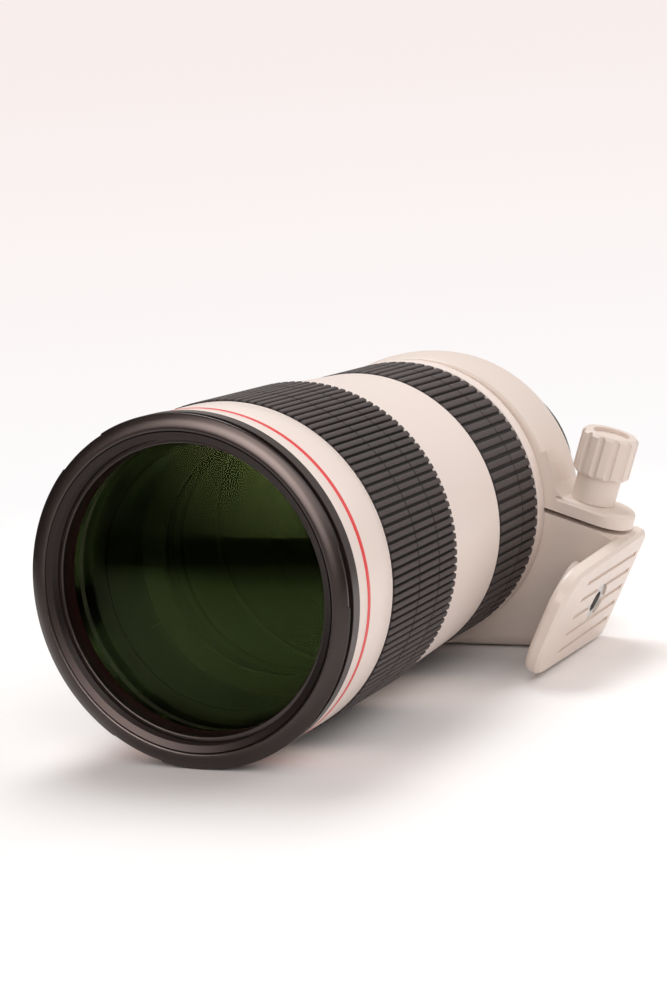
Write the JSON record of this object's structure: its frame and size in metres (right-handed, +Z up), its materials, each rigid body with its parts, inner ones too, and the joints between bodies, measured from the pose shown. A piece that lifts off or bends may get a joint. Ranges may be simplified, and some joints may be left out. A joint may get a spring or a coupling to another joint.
{
  "type": "telephoto zoom camera lens",
  "caption": "Camera lens: white telephoto zoom with ribbed rubber focus and zoom rings, a black front ring, and a turning tripod collar with foot and clamp knob.",
  "frame": {"origin": "centre of the camera bayonet's flange face, on the lens's axis", "axes": "+Y along the lens's axis towards the camera; the lens lies on its side and +Z is up"},
  "size_m": [0.1141, 0.2044, 0.0911],
  "materials": {
    "white_paint": "satin",
    "black_metal": "satin",
    "inner_black": "matt",
    "red_paint": "satin",
    "rubber": "matt",
    "coated_glass": "polished, coated",
    "clear_window": "clear",
    "black_plastic": "fine grain",
    "board_green": "lacquered",
    "steel": "turned",
    "mount_chrome": "satin",
    "tube_aluminium": "turned",
    "contact_brass": "plated"
  },
  "bodies": {
    "barrel": {"front_ring": "black_metal", "filter_ring": "black_metal", "retaining_ring": "black_metal", "front_barrel": "white_paint", "red_line": "red_paint", "front_cell": "inner_black", "front_elements": "coated_glass", "main_tube": "tube_aluminium", "motor_stator": "steel", "middle_barrel": "white_paint", "distance_window": "clear_window", "switch_plate": "black_plastic", "rear_barrel": "white_paint", "stabiliser_base": "inner_black", "iris_base": "inner_black", "rear_cell": "inner_black", "rear_elements": "coated_glass", "circuit_board": "board_green", "mount_ring": "mount_chrome", "mount_gasket": "rubber", "contact_block": "black_plastic", "contact_pins": "contact_brass", "mount_screws": "steel"},
    "focus_ring": {"focus_sleeve": "white_paint", "focus_grip": "rubber"},
    "focus_drive": {"focus_cam_tube": "tube_aluminium", "scale_drum": "black_plastic", "motor_rotor": "steel"},
    "focus_group": {"focus_cell": "inner_black", "focus_elements": "coated_glass"},
    "zoom_ring": {"zoom_sleeve": "black_metal", "zoom_grip": "rubber", "zoom_key": "steel", "zoom_cam_tube": "tube_aluminium"},
    "variator": {"variator_cell": "inner_black", "variator_elements": "coated_glass"},
    "compensator": {"compensator_cell": "inner_black", "compensator_elements": "coated_glass"},
    "shift_guide": {"stabiliser_guide": "steel"},
    "shift_cell": {"stabiliser_cell": "inner_black", "stabiliser_elements": "coated_glass"},
    "aperture_ring": {"iris_ring": "inner_black"},
    "collar": {"collar_base": "white_paint", "hinge_pin": "steel", "tripod_bush": "steel"},
    "clamp": {"clamp_half": "white_paint"},
    "knob": {"lock_knob": "white_paint", "knob_screw": "steel"},
    "blade_1": {"iris_blade_1": "inner_black"},
    "blade_2": {"iris_blade_2": "inner_black"},
    "blade_3": {"iris_blade_3": "inner_black"},
    "blade_4": {"iris_blade_4": "inner_black"},
    "blade_5": {"iris_blade_5": "inner_black"},
    "blade_6": {"iris_blade_6": "inner_black"},
    "blade_7": {"iris_blade_7": "inner_black"},
    "blade_8": {"iris_blade_8": "inner_black"},
    "slider_1": {"switch_1": "white_paint"},
    "slider_2": {"switch_2": "white_paint"},
    "slider_3": {"switch_3": "white_paint"},
    "slider_4": {"switch_4": "white_paint"}
  },
  "joints": [
    {"name": "focus_turn", "type": "hinge", "parent": "barrel", "child": "focus_ring", "pos_m": [0, -0.152, 0], "axis": [0, 1, 0], "range_deg": [0, 150]},
    {"name": "focus_drive_turn", "type": "hinge", "parent": "barrel", "child": "focus_drive", "pos_m": [0, -0.139, 0], "axis": [0, 1, 0], "range_deg": [0, 40]},
    {"name": "focus_slide", "type": "slide", "parent": "barrel", "child": "focus_group", "axis": [0, -1, 0], "range_m": [0, 0.01]},
    {"name": "zoom_turn", "type": "hinge", "parent": "barrel", "child": "zoom_ring", "pos_m": [0, -0.08, 0], "axis": [0, 1, 0], "range_deg": [0, 70]},
    {"name": "variator_slide", "type": "slide", "parent": "barrel", "child": "variator", "axis": [0, 1, 0], "range_m": [0, 0.022]},
    {"name": "compensator_slide", "type": "slide", "parent": "barrel", "child": "compensator", "axis": [0, 1, 0], "range_m": [0, 0.004]},
    {"name": "aperture_turn", "type": "hinge", "parent": "barrel", "child": "aperture_ring", "pos_m": [0, -0.0542, 0], "axis": [0, -1, 0], "range_deg": [0, 20]},
    {"name": "blade_1_swing", "type": "hinge", "parent": "barrel", "child": "blade_1", "pos_m": [0.025, -0.0574, 0], "axis": [0, -1, 0], "range_deg": [0, 30]},
    {"name": "blade_2_swing", "type": "hinge", "parent": "barrel", "child": "blade_2", "pos_m": [0.01768, -0.0571, 0.01768], "axis": [0, -1, 0], "range_deg": [0, 30]},
    {"name": "blade_3_swing", "type": "hinge", "parent": "barrel", "child": "blade_3", "pos_m": [0, -0.0568, 0.025], "axis": [0, -1, 0], "range_deg": [0, 30]},
    {"name": "blade_4_swing", "type": "hinge", "parent": "barrel", "child": "blade_4", "pos_m": [-0.01768, -0.0565, 0.01768], "axis": [0, -1, 0], "range_deg": [0, 30]},
    {"name": "blade_5_swing", "type": "hinge", "parent": "barrel", "child": "blade_5", "pos_m": [-0.025, -0.0562, 0], "axis": [0, -1, 0], "range_deg": [0, 30]},
    {"name": "blade_6_swing", "type": "hinge", "parent": "barrel", "child": "blade_6", "pos_m": [-0.01768, -0.0559, -0.01768], "axis": [0, -1, 0], "range_deg": [0, 30]},
    {"name": "blade_7_swing", "type": "hinge", "parent": "barrel", "child": "blade_7", "pos_m": [0, -0.0556, -0.025], "axis": [0, -1, 0], "range_deg": [0, 30]},
    {"name": "blade_8_swing", "type": "hinge", "parent": "barrel", "child": "blade_8", "pos_m": [0.01768, -0.0553, -0.01768], "axis": [0, -1, 0], "range_deg": [0, 30]},
    {"name": "shift_across", "type": "slide", "parent": "barrel", "child": "shift_guide", "axis": [1, 0, 0], "range_m": [-0.0008, 0.0008]},
    {"name": "shift_up", "type": "slide", "parent": "shift_guide", "child": "shift_cell", "axis": [0, 0, 1], "range_m": [-0.0008, 0.0008]},
    {"name": "slider_1_shift", "type": "hinge", "parent": "barrel", "child": "slider_1", "pos_m": [0, -0.1238, 0], "axis": [0, 1, 0], "range_deg": [0, 4]},
    {"name": "slider_2_shift", "type": "hinge", "parent": "barrel", "child": "slider_2", "pos_m": [0, -0.1166, 0], "axis": [0, 1, 0], "range_deg": [0, 4]},
    {"name": "slider_3_shift", "type": "hinge", "parent": "barrel", "child": "slider_3", "pos_m": [0, -0.1094, 0], "axis": [0, 1, 0], "range_deg": [0, 4]},
    {"name": "slider_4_shift", "type": "hinge", "parent": "barrel", "child": "slider_4", "pos_m": [0, -0.1022, 0], "axis": [0, 1, 0], "range_deg": [0, 4]},
    {"name": "collar_turn", "type": "hinge", "parent": "barrel", "child": "collar", "pos_m": [0, -0.0471, 0], "axis": [0, 1, 0], "continuous": true},
    {"name": "clamp_relax", "type": "hinge", "parent": "collar", "child": "clamp", "pos_m": [-0.03726, -0.0471, 0.02451], "axis": [0, -1, 0], "range_deg": [0, 1.2]},
    {"name": "knob_turn", "type": "hinge", "parent": "clamp", "child": "knob", "pos_m": [0.04954, -0.0495, -0.01738], "axis": [0.331, 0, 0.9436], "range_deg": [0, 720]}
  ],
  "couplings": [
    {"joint": "focus_drive_turn", "follows": "focus_turn", "ratio": 0.26667},
    {"joint": "focus_slide", "follows": "focus_turn", "m_per_rad": 0.0038197},
    {"joint": "variator_slide", "follows": "zoom_turn", "m_per_rad": 0.018007},
    {"joint": "compensator_slide", "follows": "zoom_turn", "m_per_rad": 0.003274},
    {"joint": "blade_1_swing", "follows": "aperture_turn", "ratio": 1.5},
    {"joint": "blade_2_swing", "follows": "aperture_turn", "ratio": 1.5},
    {"joint": "blade_3_swing", "follows": "aperture_turn", "ratio": 1.5},
    {"joint": "blade_4_swing", "follows": "aperture_turn", "ratio": 1.5},
    {"joint": "blade_5_swing", "follows": "aperture_turn", "ratio": 1.5},
    {"joint": "blade_6_swing", "follows": "aperture_turn", "ratio": 1.5},
    {"joint": "blade_7_swing", "follows": "aperture_turn", "ratio": 1.5},
    {"joint": "blade_8_swing", "follows": "aperture_turn", "ratio": 1.5},
    {"joint": "clamp_relax", "follows": "knob_turn", "ratio": 0.0016667}
  ]
}
